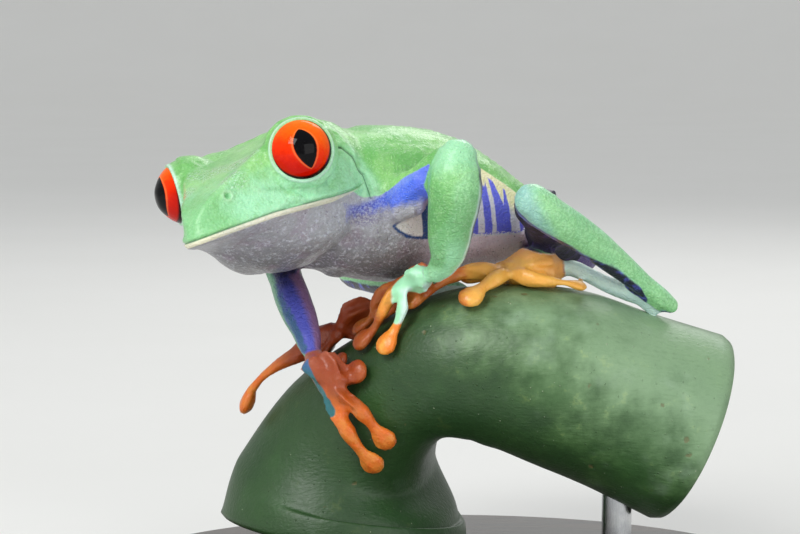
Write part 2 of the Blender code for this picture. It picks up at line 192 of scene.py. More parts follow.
def makeFlesh():
    whole = bmesh.new()
    for name in fleshNames:
        bm = welded(name)
        bmesh.ops.subdivide_edges(bm, edges=bm.edges, cuts=skinSize["cuts"], smooth=1.0, use_grid_fill=True)
        bm.normal_update()
        much = skinSize["digitSwell" if name in pawNames else "swell"]
        moved = [v.co + v.normal * much for v in bm.verts]
        for v, co in zip(bm.verts, moved):
            v.co = co
        part = bpy.data.meshes.new("part")
        bm.to_mesh(part)
        bm.free()
        whole.from_mesh(part)
    for side in eyeMid:
        made = bmesh.ops.create_uvsphere(whole, u_segments=48, v_segments=32, radius=skinSize["fill"])
        bmesh.ops.translate(whole, verts=made["verts"], vec=eyeMid[side])
    ob = toObject(whole, "frogSkin", unit=1)  # stays in millimetres until the markings are stored
    mod = ob.modifiers.new("remesh", "REMESH")
    mod.mode, mod.voxel_size, mod.use_smooth_shade = "VOXEL", skinSize["voxel"], True
    return applied(ob)


def distances(co, reach):
    # millimetres from every skin point to each flesh node, no more than reach
    out = {}
    for name in fleshNames:
        bm = welded(name)
        tree = BVHTree.FromBMesh(bm)
        bm.free()
        low, high = (np.array(p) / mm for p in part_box(name))
        d = np.full(len(co), float(reach))
        for i in np.flatnonzero(((co > low - reach) & (co < high + reach)).all(1)):
            found = tree.find_nearest(co[i], reach)
            if found[0] is not None:
                d[i] = found[3]
        out[name] = d
    return out


skin = makeFlesh()
co = points(skin.data)
ends = edgeList(skin.data)
print("skin remeshed:", len(co), "points")
co = relax(co, ends, smoothing["first"], np.ones(len(co)))

# the joints between nodes melt into one another, each as widely as its share of seamWidth, but not the digits
reach = distances(co, 4.0)
seam = np.zeros(len(co))
limbs = [("trunk", "upper_arm", 1.4), ("upper_arm", "forearm", 0.8), ("forearm", "hand", 0.5),
         ("trunk", "thigh", 1), ("thigh", "shank", 0.8), ("shank", "tarsus", 0.6), ("tarsus", "foot", 0.5)]
meets = [("head", "trunk", 1), ("head", "upper_arm_left", 1)]
meets += [(a if a == "trunk" else a + "_" + side, b + "_" + side, w) for a, b, w in limbs for side in eyeMid]
for a, b, much in meets:
    apart = np.maximum(reach[a], reach[b]) - skinSize["swell"]
    seam = np.maximum(seam, min(much, 1) * (1 - step(apart, 0.4, skinSize["seamWidth"] * much)))
seam = relax(seam[:, None], ends, smoothing["mask"], np.ones(len(co)), outwards=0.3)[:, 0]
co = relax(co, ends, smoothing["seam"], seam, outwards=-0.25)
# the near shoulder fills in more, between the arm and the back
apart = np.maximum(reach["trunk"], reach["upper_arm_left"])
hollow = (1 - step(apart, 1.0, 3.6)) * step(co[:, 2], 43, 44.5)
co = relax(co, ends, smoothing["shoulder"], hollow, outwards=-0.1)
# palms and soles are smoothed next to the wrists and ankles
palm = np.zeros(len(co))
for a, b in (("forearm_", "hand_"), ("tarsus_", "foot_")):
    for side in eyeMid:
        palm = np.maximum(palm, (1 - step(reach[a + side], 1.2, 3.8)) * (reach[b + side] < 0.5))
palm = relax(palm[:, None], ends, smoothing["mask"], np.ones(len(co)), outwards=0.3)[:, 0]
co = relax(co, ends, smoothing["palm"], palm, outwards=-0.30)
co = relax(co, ends, smoothing["last"], np.ones(len(co)))
setPoints(skin.data, co)
digit = np.min([reach[n] for n in pawNames], axis=0)
rest = np.min([reach[n] for n in fleshNames if n not in pawNames], axis=0)
inside = skinSize["digitSwell"] + (skinSize["swell"] - skinSize["digitSwell"]) * step(digit - rest, -0.4, 0.4)
co = co - normals(skin.data) * inside[:, None]
setPoints(skin.data, co)
print("seams melted")

# head: lids, mouth, nostrils and folds, all in the head frame, millimetres forward, left and up
headLines = dict(
    mouth=[(12.5, -5.5), (11.7, -5.45), (10.4, -5.36), (8.3, -5.27), (5.3, -5.13), (2.2, -5.26),
           (-2.0, -5.4), (-4.6, -5.39), (-6.3, -5.22), (-6.9, -4.98)],
    fold=[(-3.0, -0.41), (-4.7, -0.4), (-6.06, -0.75), (-6.43, -1.55), (-6.89, -2.85), (-7.38, -4.16),
          (-7.26, -5.38), (-7.21, -6.7)],
    lore=[(4.85, 5.18, -2.64), (1.5, 7.4, -3.6), (-1.44, 8.52, -3.92)],
    ear=(-5.31, 8.98, -2.74), earRadius=0.85, nostril=(7.92, 2.95, -2.14))


def mirrored(q):
    # both sides of the head laid over its left side
    return np.stack([q[:, 0], np.abs(q[:, 1]), q[:, 2]], 1)


def awayFrom(q, spot):
    return np.linalg.norm(mirrored(q) - headLines[spot], axis=1)


def eyeAngle(co, side):
    # distance from the eyeball's centre, and degrees from the eye's axis
    q = co - np.array(eyeMid[side])
    r = np.linalg.norm(q, axis=1)
    return r, np.degrees(np.arccos(np.clip(q @ np.array(eyeAxis(side)) / r, -1, 1)))


def refined(ob, masks):
    # splits the faces where the mask says so, once for each mask
    for mask in masks:
        chosen = mask(points(ob.data))
        bm = bmesh.new()
        bm.from_mesh(ob.data)
        bm.verts.ensure_lookup_table()
        edges = [e for e in bm.edges if chosen[e.verts[0].index] and chosen[e.verts[1].index]]
        bmesh.ops.subdivide_edges(bm, edges=edges, cuts=1, use_grid_fill=True)
        bm.to_mesh(ob.data)
        bm.free()


def nearFeatures(width):
    def mask(co):
        q = headCoords(co)
        near = reachHead(co) < 1.5
        hit = awayFrom(q, "nostril") < 1.2 * width
        below = q[:, 2] - curveOf(headLines["mouth"], q[:, 0])
        hit |= (np.abs(below) < 0.7 * width) & (q[:, 0] > -7.3) & near
        hit |= (foldPath(q)[0] < 0.7 * width) & near
        for side in eyeMid:
            r, angle = eyeAngle(co, side)
            hit |= (r > 2.8) & (r < 4.4) & (np.abs(angle - eyeSpot["opening"] - 2) < 10 * width)
        return hit
    return mask


def foldPath(q):
    # measured in the head's side view, on its flanks only
    away, share = toPath(q[:, [0, 2]], headLines["fold"])
    return np.where(np.abs(q[:, 1]) > 6.5, away, 5), share


def reachHead(co):
    low, high = (np.array(p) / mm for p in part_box("head"))
    return np.max(np.maximum(low - co, co - high), axis=1)


refined(skin, [nearFeatures(1.0), nearFeatures(0.6)])
co = points(skin.data)
ends = edgeList(skin.data)
near = nearFeatures(1.3)(co).astype(float)
co = relax(co, ends, smoothing["face"], near)
setPoints(skin.data, co)
print("head refined:", len(co), "points")


def sculptHead(co, normal):
    q = headCoords(co)
    f, u = q[:, 0], q[:, 2]
    onHead = (reachHead(co) < 0.5) & (f > -8)
    push = np.zeros(len(co))
    # lips: a fine slit with a full upper lip over a narrow lower one
    below = u - curveOf(headLines["mouth"], f)
    along = onHead * step(f, -7.0, -6.2)
    lips = 0.10 * bell(below - 0.38, 0.26) + 0.08 * bell(below + 0.42, 0.3) - 0.20 * bell(below, 0.13)
    push += along * lips
    # the fold that runs from the eye over the ear to the shoulder
    away, share = foldPath(q)
    away = np.where(reachHead(co) < 1.2, away, 5)
    push += -0.24 * bell(away, 0.16) * step(share, 0, 0.06)
    push += 0.06 * bell(away - 0.5, 0.3) * step(share, 0, 0.06)
    away, share = toPath(mirrored(q), headLines["lore"])
    push -= 0.07 * bell(away, 0.35) * step(share, 0, 0.15) * (1 - step(share, 0.85, 1))
    away = awayFrom(q, "ear")
    push += -0.07 * bell(away - headLines["earRadius"], 0.14) + 0.04 * bell(away, 0.5)
    away = awayFrom(q, "nostril")
    push += -0.42 * bell(away, 0.24) + 0.13 * bell(away - 0.52, 0.2)
    co = co + normal * push[:, None]
    # lids: a rolled rim round each eyeball, and the skin inside it tucked under the ball
    for side in eyeMid:
        r, angle = eyeAngle(co, side)
        past = angle - eyeSpot["opening"]
        rim = eyeSpot["radius"] - 0.14 + 0.36 * step(past, -1.2, 2.2) - 0.03 * bell(past - 8.5, 3)
        # the orbit swells again behind the rim
        hold = (1 - step(past, 6, 17)) * (1 - step(r, 4.6, 7))
        target = rim * hold + r * (1 - hold)
        # nowhere may the ball poke through behind the rim
        target = np.where(past > 0, np.maximum(target, eyeSpot["radius"] + 0.13 * step(past, 0, 4)), target)
        centre = np.array(eyeMid[side])
        co = centre + (co - centre) * (target / r)[:, None]
    return co


co = sculptHead(co, normals(skin.data))
setPoints(skin.data, co)

# warts on the back and face, high enough for the outline to show
wartSize = dict(count=520, low=0.16, high=0.34, height=0.10, seed=11, headCount=260, headHeight=0.05)


def addWarts(co, normal):
    rng = np.random.default_rng(wartSize["seed"])
    onHead = reachHead(co) < 0
    back = (normal[:, 2] > 0.25) & (co[:, 2] > 44) & ~onHead
    face = onHead & (headCoords(co)[:, 2] > -4.6)
    for side in eyeMid:
        face &= eyeAngle(co, side)[0] > 4.1
    push = np.zeros(len(co))
    for spots, count, height in ((back, wartSize["count"], wartSize["height"]),
                                 (face, wartSize["headCount"], wartSize["headHeight"])):
        for i in rng.choice(np.flatnonzero(spots), count, replace=False):
            radius = rng.uniform(wartSize["low"], wartSize["high"])
            box = np.flatnonzero((np.abs(co - co[i]) < 2 * radius).all(1))
            away = np.linalg.norm(co[box] - co[i], axis=1)
            push[box] = np.maximum(push[box], height * radius / wartSize["high"] * bell(away, radius))
    return co + normal * push[:, None]


co = addWarts(co, normals(skin.data))
setPoints(skin.data, co)
mod = skin.modifiers.new("thin", "DECIMATE")
mod.ratio = skinSize["most"] / sum(len(face.vertices) - 2 for face in skin.data.polygons)
skin = applied(skin)
print("skin thinned:", sum(len(face.vertices) - 2 for face in skin.data.polygons), "triangles")

# what the markings follow, stored on the skin in millimetres
limbFaces = dict(
    upper_arm_left=((-0.35, -0.9, 0.25), (-0.6, 0.2, 0.75)), upper_arm_right=((-0.7, 0.7, 0.1), (0, 0, 1)),
    forearm_left=((-0.35, -0.93, 0.1), (-0.93, 0.35, 0)), forearm_right=((-0.75, 0.65, 0.1), (0.65, 0.75, 0)),
    shank_left=((0.25, -0.72, 0.65), (0.65, 0.1, 0.75)), shank_right=((-0.5, 0.4, 0.77), (0.6, 0.4, 0.6)),
    thigh_left=((0, -0.2, 1), (-1, 0, 0)), thigh_right=((0, 0.2, 1), (-1, 0, 0)),
    tarsus_left=((0.1, -0.45, 0.9), (-0.3, 0, -1)), tarsus_right=((-0.2, 0.3, 0.9), (-0.3, 0, -1)),
    hand_left=((-0.4, -0.9, 0.1), (-0.9, 0.4, 0)))
greenEdge = dict(
    head=[(-12, -7.6), (-8.3, -6.85), (-6.6, -6.4), (-5.7, -5.85), (-4.9, -5.4)],
    trunk=[(-6, 43.0), (0, 43.5), (1.7, 44.4), (3.9, 46.2), (6.0, 46.9), (7.5, 47.35), (9.6, 47.6),
           (13.2, 46.4), (17.1, 43.9), (20, 41.5), (24, 39.5)])
armEdge = [(-9.5, 43.1), (-8.4, 43.5), (-6.2, 44.5), (-4.7, 45.9), (-2.6, 47.15), (0, 48.6)]
flankEdge = dict(
    upper=[(-5, 36), (1.6, 40.4), (2.3, 41.2), (3.6, 42.1), (5.3, 43.3), (7.0, 45.0), (9.0, 47.6), (10, 60)],
    lower=[(-5, 46), (1.6, 41.0), (2.3, 40.3), (3.3, 39.6), (4.6, 39.2), (17.5, 39.2), (19.5, 41.5),
           (22, 46)])
armFoot = [(-11, 41.2), (-8.8, 40.8), (-5.5, 41.3), (-3.4, 42.2), (-1.8, 43.1), (0, 43.6)]
greenFinger = [(1.2, -10.6, 37.3), (-0.9, -10.2, 36.2), (-3.2, -8.0, 35.0), (-4.7, -7.3, 34.2),
               (-5.3, -7.9, 31.6)]
cuff = [(-15.3, -6.6, 27.0), (-14.9, -6.9, 25.7), (-13.8, -6.8, 23.8), (-12.9, -7.5, 22.3),
        (-12.3, -7.9, 21.2)]
fingerWidth = [(0, 2.8), (0.4, 2.2), (0.7, 1.35), (1, 1.05)]


def storeMarkings(mesh):
    co = points(mesh)
    normal = normals(mesh)
    ends = edgeList(mesh)
    even = np.ones(len(co))
    reach = distances(co, 5.0)

    def closest(*starts):
        return np.min([reach[n] for n in fleshNames if n.startswith(starts)], axis=0)

    # how far inside its own part each point lies, negative outside it
    parts = dict(arm="upper_arm", fore="forearm", thigh="thigh", shank="shank", tarsus="tarsus")
    fields = {}
    for key, start in parts.items():
        others = tuple(n for n in fleshNames if not n.startswith(start))
        fields[key] = closest(*others) - closest(start)
    fields["digits"] = closest(*[n for n in fleshNames if n not in pawNames]) - closest(*pawNames)
    fields["far"] = closest(*[n for n in fleshNames if n.endswith("left")]) - closest(
        *[n for n in fleshNames if n.endswith("right")])
    # which way round a limb each point faces: its outer side, and its front or under side
    share = {n: bell(reach[n], 0.7) + 1e-9 for n in limbFaces}
    whole = sum(share.values())
    for k, key in enumerate(("outer", "front")):
        facing = sum(share[n][:, None] * np.array(Vector(limbFaces[n][k]).normalized()) for n in limbFaces)
        fields[key] = (facing / whole[:, None] * normal).sum(1)
    # green of the head and back against the pale underside
    q = headCoords(co)
    mouth = curveOf(headLines["mouth"], q[:, 0])
    headGreen = q[:, 2] - np.where(q[:, 0] > -4.9, mouth, curveOf(greenEdge["head"], q[:, 0]))
    s = (co - np.array(trunkAt)) @ np.array(trunkBack)
    trunkGreen = co[:, 2] - curveOf(greenEdge["trunk"], s)
    # on the far side the green reaches a little lower down behind the arm
    beside = (co - np.array(trunkAt)) @ np.array((-trunkBack.y, trunkBack.x, 0))
    trunkGreen += 2.4 * step(beside, 0, 2) * (1 - step(s, 5, 12))
    onHead = step(closest("trunk", "upper_arm") - closest("head"), -0.8, 0.8)
    onArm = step(fields["arm"], -0.6, 0.3)
    armGreen = np.where(fields["far"] > 0, normal[:, 2] * 2 - 1.5, co[:, 2] - curveOf(armEdge, co[:, 0]))
    fields["green"] = headGreen * onHead + (trunkGreen * (1 - onArm) + armGreen * onArm) * (1 - onHead)
    fields["lift"] = normal[:, 2]
    fields["lip"] = np.where(onHead > 0.5, q[:, 2] - mouth, 9)
    fields["head"] = onHead
    inside = np.minimum(curveOf(flankEdge["upper"], s) - co[:, 2], co[:, 2] - curveOf(flankEdge["lower"], s))
    fields["flank"] = np.where(onHead > 0.5, -5, np.minimum(inside, 3))
    away, along = toPath(co, greenFinger)
    fields["finger"] = np.minimum(away - curveOf(fingerWidth, along), 5)
    # the far forearm's green and blue run on down the edge of its hand
    fields["cuff"] = np.minimum(toPath(co, cuff)[0], 5)
    # blue spills from the near upper arm over the shoulder
    spill = np.minimum(curveOf(armEdge, co[:, 0]) - co[:, 2], co[:, 2] - curveOf(armFoot, co[:, 0]))
    spill = np.minimum(spill, (co[:, 0] + 10.6) * 0.4)
    fields["spill"] = np.where((co[:, 1] < -2.5) & (fields["far"] < 0) & (normal[:, 1] < 0.2), spill, -3)
    lid = np.full(len(co), 9.0)
    for side in eyeMid:
        r, angle = eyeAngle(co, side)
        here = np.radians(angle - eyeSpot["opening"]) * r
        lid = np.where(r < 3.85, np.minimum(lid, np.where((here < 0) & (r > 3.5), 0.6, here)), lid)
    fields["lid"] = lid
    fields["fold"] = np.where(reachHead(co) < 1.2, foldPath(q)[0], 5)
    fields["nostril"] = np.minimum(awayFrom(q, "nostril"), 5)
    fields["lore"] = np.minimum(toPath(mirrored(q), headLines["lore"])[0], 5)
    for key, values in fields.items():
        if key in ("arm", "fore", "thigh", "shank", "tarsus", "digits", "far", "outer", "front", "lift"):
            values = relax(values[:, None], ends, smoothing["marks"], even, outwards=0.3)[:, 0]
        store(mesh, key, values)


storeMarkings(skin.data)
setPoints(skin.data, points(skin.data) * mm)
for name in fleshNames:
    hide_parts(name)
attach(skin, "root")
print("markings stored")


# materials: sockets that do arithmetic, and a short way to add nodes
class Wire:
    def __init__(self, look, socket):
        self.look = look
        self.socket = socket

    def __add__(self, other):
        return self.look.maths("ADD", self, other)

    def __sub__(self, other):
        return self.look.maths("SUBTRACT", self, other)

    def __rsub__(self, other):
        return self.look.maths("SUBTRACT", other, self)

    def __mul__(self, other):
        return self.look.maths("MULTIPLY", self, other)

    def __truediv__(self, other):
        return self.look.maths("DIVIDE", self, other)

    def __pow__(self, other):
        return self.look.maths("POWER", self, other)

    def __neg__(self):
        return self.look.maths("MULTIPLY", self, -1)

    __radd__ = __add__
    __rmul__ = __mul__


class Look:
    def __init__(self, name, fixed):
        self.material = bpy.data.materials.new(name)
        self.material.use_nodes = True
        self.tree = self.material.node_tree
        self.shader = self.tree.nodes["Principled BSDF"]
        self.feed(self.shader, fixed)

    def feed(self, node, values):
        for key, value in values.items():
            if isinstance(value, Wire):
                self.tree.links.new(value.socket, node.inputs[key])
            else:
                node.inputs[key].default_value = value

    def add(self, kind, settings=None, values=None, out=0):
        node = self.tree.nodes.new("ShaderNode" + kind)
        for key, value in (settings or {}).items():
            setattr(node, key, value)
        self.feed(node, values or {})
        return Wire(self, node.outputs[out])

    def maths(self, what, a, b=0.0):
        return self.add("Math", {"operation": what}, {0: a, 1: b})

    def least(self, a, b):
        return self.maths("MINIMUM", a, b)

    def most(self, a, b):
        return self.maths("MAXIMUM", a, b)

    def size(self, a):
        return self.maths("ABSOLUTE", a)

    def step(self, x, low, high):
        ends = {"Value": x, "From Min": low, "From Max": high}
        return self.add("MapRange", {"interpolation_type": "SMOOTHSTEP"}, ends)

    def bell(self, x, width):
        return self.maths("EXPONENT", -(x / width) ** 2)

    def tint(self, share, a, b):
        return self.add("Mix", {"data_type": "RGBA"}, {0: share, 6: a, 7: b}, 2)

    def layers(self, base, tones, coats):
        # tones laid one over another, each by its own share
        for share, key in coats:
            base = self.tint(share, base, tones[key])
        return base

    def place(self):
        # object coordinates in millimetres
        at = self.add("TexCoord", out="Object")
        return self.add("VectorMath", {"operation": "SCALE"}, {0: at, "Scale": 1 / mm})

    def along(self, place, way, start=(0, 0, 0)):
        dot = self.add("VectorMath", {"operation": "DOT_PRODUCT"}, {0: place, 1: tuple(way)}, "Value")
        return dot - Vector(way).dot(Vector(start))

    def stretch(self, place, by):
        return self.add("VectorMath", {"operation": "MULTIPLY"}, {0: place, 1: by})

    def stored(self, name):
        return self.add("Attribute", {"attribute_name": name}, out="Fac")

    def noise(self, place, scale, detail=2.0, rough=0.5):
        # swings either side of nothing
        values = {"Vector": place, "Scale": scale, "Detail": detail, "Roughness": rough}
        return self.add("TexNoise", {}, values) - 0.5

    def cells(self, place, scale, feature="F1"):
        return self.add("TexVoronoi", {"feature": feature}, {"Vector": place, "Scale": scale})

    def finish(self, colour, rough=None, height=None, **more):
        # height in millimetres
        self.feed(self.shader, {"Base Color": colour, **more})
        if rough is not None:
            self.feed(self.shader, {"Roughness": rough})
        if height is not None:
            bump = self.add("Bump", {}, {"Height": height, "Strength": 1.0, "Distance": mm}, "Normal")
            self.feed(self.shader, {"Normal": bump})
        return self.material


def tone(r, g, b):
    # screen values from 0 to 255 made linear
    def linear(c):
        c = c / 255
        return c / 12.92 if c <= 0.04045 else ((c + 0.055) / 1.055) ** 2.4
    return (linear(r), linear(g), linear(b), 1)


skinTone = dict(
    green=tone(118, 192, 102), leaf=tone(158, 220, 132), mint=tone(172, 238, 192), deep=tone(80, 148, 80),
    granule=tone(184, 228, 186), crease=tone(34, 70, 44), pale=tone(180, 180, 190),
    throat=tone(122, 121, 124), speck=tone(112, 100, 122), mauve=tone(244, 230, 248),
    cream=tone(246, 240, 192), lip=tone(226, 224, 204), milk=tone(230, 232, 246), bar=tone(104, 112, 240),
    teal=tone(18, 66, 128), blue=tone(82, 120, 252), haze=tone(150, 172, 250), violet=tone(78, 54, 128),
    navy=tone(24, 22, 50), orange=tone(244, 132, 34), litSaffron=tone(255, 196, 92), amber=tone(248, 172, 66),
    rose=tone(246, 160, 132), emberAndShade=tone(196, 66, 18), brickShade=tone(150, 58, 22), white=tone(222, 252, 240),
    frost=tone(213, 242, 241), darkShade=tone(20, 24, 16), plum=tone(150, 110, 146), sea=tone(40, 110, 116),
    shade=tone(22, 16, 40))


# flank bars: middle and half width along the trunk; glints: a spot in the head frame and its reach
skinMarks = dict(bars=[(3.65, 1.5), (8.2, 0.34), (10.5, 0.36), (12.2, 0.42), (13.85, 0.27), (16.6, 0.56)],
                 notch=15.35,
                 glints=[((2.9, 1.6, 0.6), 1.7), ((2.7, 3.9, 0.4), 1.5), ((6.4, 3.1, -0.7), 1.3)])


def skinLook():
    look = Look("frogSkin", {
        "Subsurface Weight": 0.10, "Subsurface Scale": 0.0012, "Subsurface Radius": (1.0, 0.7, 0.4),
        "Coat Roughness": 0.22, "Specular IOR Level": 0.45})
    t = skinTone
    step, tint, bell = look.step, look.tint, look.bell
    p = look.place()
    broad = look.noise(p, 0.22, 3)
    blot = look.noise(p, 0.8, 3)
    wob = look.noise(p, 1.6, 3)
    fine = look.noise(p, 5.0, 2)
    drift = look.add("TexNoise", {}, {"Vector": p, "Scale": 1.2}, "Color")
    bent = look.add("VectorMath", {"operation": "ADD"}, {0: p, 1: drift})
    grain = look.cells(look.stretch(bent, (1.0, 1.0, 1.25)), 3.1)
    tiny = look.cells(p, 6.0)
    f = look.along(p, headFwd, headAt)
    u = look.along(p, headUp, headAt)
    s = look.along(p, trunkBack, trunkAt)
    z = look.along(p, (0, 0, 1))
    green, lip, flank = look.stored("green"), look.stored("lip"), look.stored("flank")
    head, outer, front = look.stored("head"), look.stored("outer"), look.stored("front")
    edge = wob * 0.5 + fine * 0.25

    # green of head, back and limbs: mottled, minty low on the face and on the limbs, and lighter on limb
    # faces turned upwards as painted light
    lift = look.stored("lift")
    far = step(look.stored("far"), -0.5, 0.5)
    close = 1 - far
    fore, digits = look.stored("fore"), look.stored("digits")
    onLimb = step(look.most(look.most(fore, look.stored("shank")), look.stored("tarsus")), -0.5, 0.5)
    mintShare = step(u + blot * 3, 1.0, -3.4) * head * 0.95
    onFore = step(fore, -0.5, 0.5)
    limbMintAndLitTop = onLimb * (0.5 - onFore * 0.35) + onLimb * step(lift + blot, 0.2, 0.9) * 0.4
    mintShare = look.most(mintShare, limbMintAndLitTop)
    dapple = look.noise(p, 0.55, 4, 0.6)
    shaft = onFore * close * step(z + blot * 4, 46, 42) * step(z + blot, 35.5, 37.5)
    granules = 1 - step(grain, 0.10, 0.5)
    gapShade = step(grain, 0.35, 0.7)
    colour = tint(step(broad + blot * 0.5, -0.18, 0.2), t["green"], t["leaf"])
    colour = look.layers(colour, t, [
        (mintShare, "mint"),
        (step(blot + fine * 0.3, 0.04, 0.3) * 0.4, "deep"),
        # greener patches and pale ones on the face, the pale ones painted wet highlights
        (step(dapple + fine * 0.2, 0.02, 0.22) * head * 0.45, "green"),
        (step(-dapple + fine * 0.3, 0.06, 0.26) * head * 0.5, "granule"),
        # the snout's tip is darkened as painted shade; the near forearm is deeper green
        (step(f + blot * 2, 6.8, 9.6) * head * 0.6, "green"),
        (shaft * 0.5, "deep"),
        # painted shade in the gaps between granules; the granules are pale, partly a painted highlight on the
        # bumps
        (gapShade * (0.22 + onLimb * 0.16) * (1 - head * 0.4), "deep"),
        (granules * (0.26 + broad * 0.5) * (1 - head * 0.3), "granule"),
        ((1 - step(tiny, 0.05, 0.3)) * step(fine, -0.05, 0.25) * 0.3, "granule"),
        # painted highlight: faces turned upwards are lightened
        (step(lift + blot * 0.8, 0.55, 1.0) * 0.12, "granule")])

    # pale underside, speckled, greyer towards the belly; lower down it turns to a painted shade grey
    under = tint(step(z + blot * 4, 36, 43), t["throat"], t["pale"])
    under = look.layers(under, t, [
        (step(s + wob * 2, 4, 9) * 0.9, "mauve"),
        (step(look.noise(p, 0.5, 3), 0.0, 0.2) * 0.25, "plum"),
        ((1 - step(tiny, 0.10, 0.34)) * step(blot, -0.15, 0.1) * 0.5, "milk"),
        (step(look.noise(p, 2.6, 3), 0.02, 0.18) * 0.4, "milk"),
        (step(look.noise(p, 3.2, 2), 0.13, 0.22) * 0.6, "speck"),
        (step(s + wob, 17.6, 18.6) * step(green, 0.0, -0.8), "violet")])
    isGreen = step(green + edge * 0.5, -0.1, 0.1)
    # yellow rim of the flank and its pale bars on blue
    across = s + (z - 42) * 0.13 + wob * 0.22
    deepBar = tint(step(s, 6.2, 8.5), t["teal"], t["bar"])
    deepBar = tint(step(across, 17.0, 17.8), deepBar, t["violet"])
    bars = None
    for centre, half in skinMarks["bars"]:
        bar = step(half + edge * 0.12 - look.size(across - centre), -0.09, 0.09)
        bars = bar if bars is None else look.most(bars, bar)
    notch = step((z - 42.5) * 0.27 - look.size(across - skinMarks["notch"]), -0.08, 0.08)
    rim = step(green + 0.7 + step(across, 13.9, 13.3) * 1.2 + edge * 0.5, -0.15, 0.15)
    rim = rim * step(s, 6.5, 8.5)
    bars = look.most(look.most(bars, notch), rim) * step(flank + edge * 0.5, 0.2, 0.5)
    bars = look.most(bars, step(flank + fine * 1.2, 0.42, 0.15) * step(s, 9, 12) * step(z, 41, 40))
    pale = tint(step(green + wob, -3.4, -1.2), t["milk"], t["cream"])
    pale = tint(step(s, 6, 5) * 0.25, pale, t["cream"])
    side = tint(bars, deepBar, pale)
    side = tint(granules * 0.12, side, t["milk"])
    inFlank = step(flank + edge * 0.9, -0.14, 0.14)
    under = tint(inFlank, under, side)
    body = tint(isGreen, under, colour)
    hole, lid, fold = look.stored("nostril"), look.stored("lid"), look.stored("fold")
    # cream lower lip, dark slit above it, painted shade in the mouth's groove
    slitShade = bell(lip, 0.085) * step(f, -7.2, -6.6) * head
    lipEnd = step(f + wob, -4.6, -2.4)
    lipDepth = step(f, -7.0, -1.0) * 0.46 + 0.10
    onLip = step(lip + lipDepth, -0.05, 0.05) * step(lip, -0.02, -0.10) * step(f, -6.9, -5.6)
    lipTone = tint(step(f, 9.5, 11.5) * 0.3, t["lip"], t["cream"])
    body = tint(onLip * head * (0.7 + lipEnd * 0.3), body, lipTone)
    body = look.layers(body, t, [
        (slitShade * 0.6, "deep"),
        # painted shade in the fold's groove, and a painted highlight along both sides of it
        (bell(fold, 0.12) * 0.85, "crease"),
        (bell(fold - 0.42, 0.2) * 0.2, "granule"),
        # painted shade along the groove before the eye
        (bell(look.stored("lore"), 0.3) * 0.4, "deep"),
        (bell(hole - 0.5, 0.2) * 0.5, "granule"),
        # painted shade in the nostril's pit
        ((1 - step(hole, 0.12, 0.3)) * 0.8, "deep"),
        # lids: a pale ring, partly a painted highlight where the rim catches light, then the dark line where
        # the eyeball begins, painted shade where the skin tucks under the ball
        (bell(lid - 0.26, 0.2) * 0.7, "white"),
        (step(lid, 0.02, -0.06) * step(lid, -2.5, -1.5), "darkShade")])

    # limbs over the body
    # painted light and shade: the upper arm is lighter where it faces up, deeper blue where it faces down
    arm = tint(step(lift + wob * 0.5, -0.1, 0.9), t["blue"], t["haze"])
    arm = tint(step(z - s * 0.3 + wob * 1.5, 43.2, 41.8) * (1 - far * 0.85), arm, t["pale"])
    speckle = tint(step(fine, -0.1, 0.15), t["violet"], t["pale"])
    arm = tint(step(s + wob * 2.5, 3.0, -1.5) * 0.62 * close, arm, speckle)
    arm = look.layers(arm, t, [
        ((1 - step(tiny, 0.06, 0.26)) * step(s, 6, 2) * 0.6 * close, "milk"),
        # painted shade: deeper blue next to the forearm
        (step(fore, -2.2, -0.3) * close * 0.35, "bar")])
    spill = step(look.stored("spill") + edge, -0.4, 0.5)
    onArm = look.most(step(look.stored("arm") + edge * 0.5, -0.5, 0.5), spill)
    body = tint(onArm * (1 - isGreen), body, arm)

    # forearm: green outside, white hem behind, violet within
    inner = tint(step(front + wob * 0.4, -0.2, 0.35), t["navy"], t["rose"])
    # painted shade: the far forearm darkens towards its top by the body
    band = tint(step(z + wob * 2, 36.0, 31.0) * 0.72, t["shade"], t["bar"])
    band = look.layers(band, t, [
        (step(front + wob * 0.2, -0.84, -0.97) * 0.7, "sea"),
        (step(front + wob * 0.2, -0.55, -0.05) * 0.85, "plum")])
    inner = tint(far, inner, band)
    outside = step(outer + fine * 0.2 - far * 0.28, -0.06, 0.16)
    hem = bell(outer - 0.02, 0.17) * close * step(z, 46.5, 44) * step(front, 0.1, -0.2)
    foreSide = tint(outside, inner, tint(far * 0.45, colour, t["sea"]))
    foreSide = look.layers(foreSide, t, [
        (step(z + blot, 40.5, 38.0) * step(front, 0.1, -0.4) * close * 0.6, "mint"),
        (step(z + blot, 37.5, 35.5) * close * 0.75, "mint"),
        (hem * 0.9, "white"),
        # painted highlight on the near forearm's top, by the elbow
        (step(z + blot * 2, 45.6, 48.4) * close * 0.7, "mint")])

    # thigh: dark violet, its blue deepened to navy as painted shade, with a thin green line on top at its
    # rear end
    thigh = tint(step(blot + fine * 0.5, 0.0, 0.3) * 0.7, t["navy"], t["violet"])
    thigh = tint(step(outer + wob * 0.2, 0.5, 0.62) * step(s, 16, 18), thigh, colour)
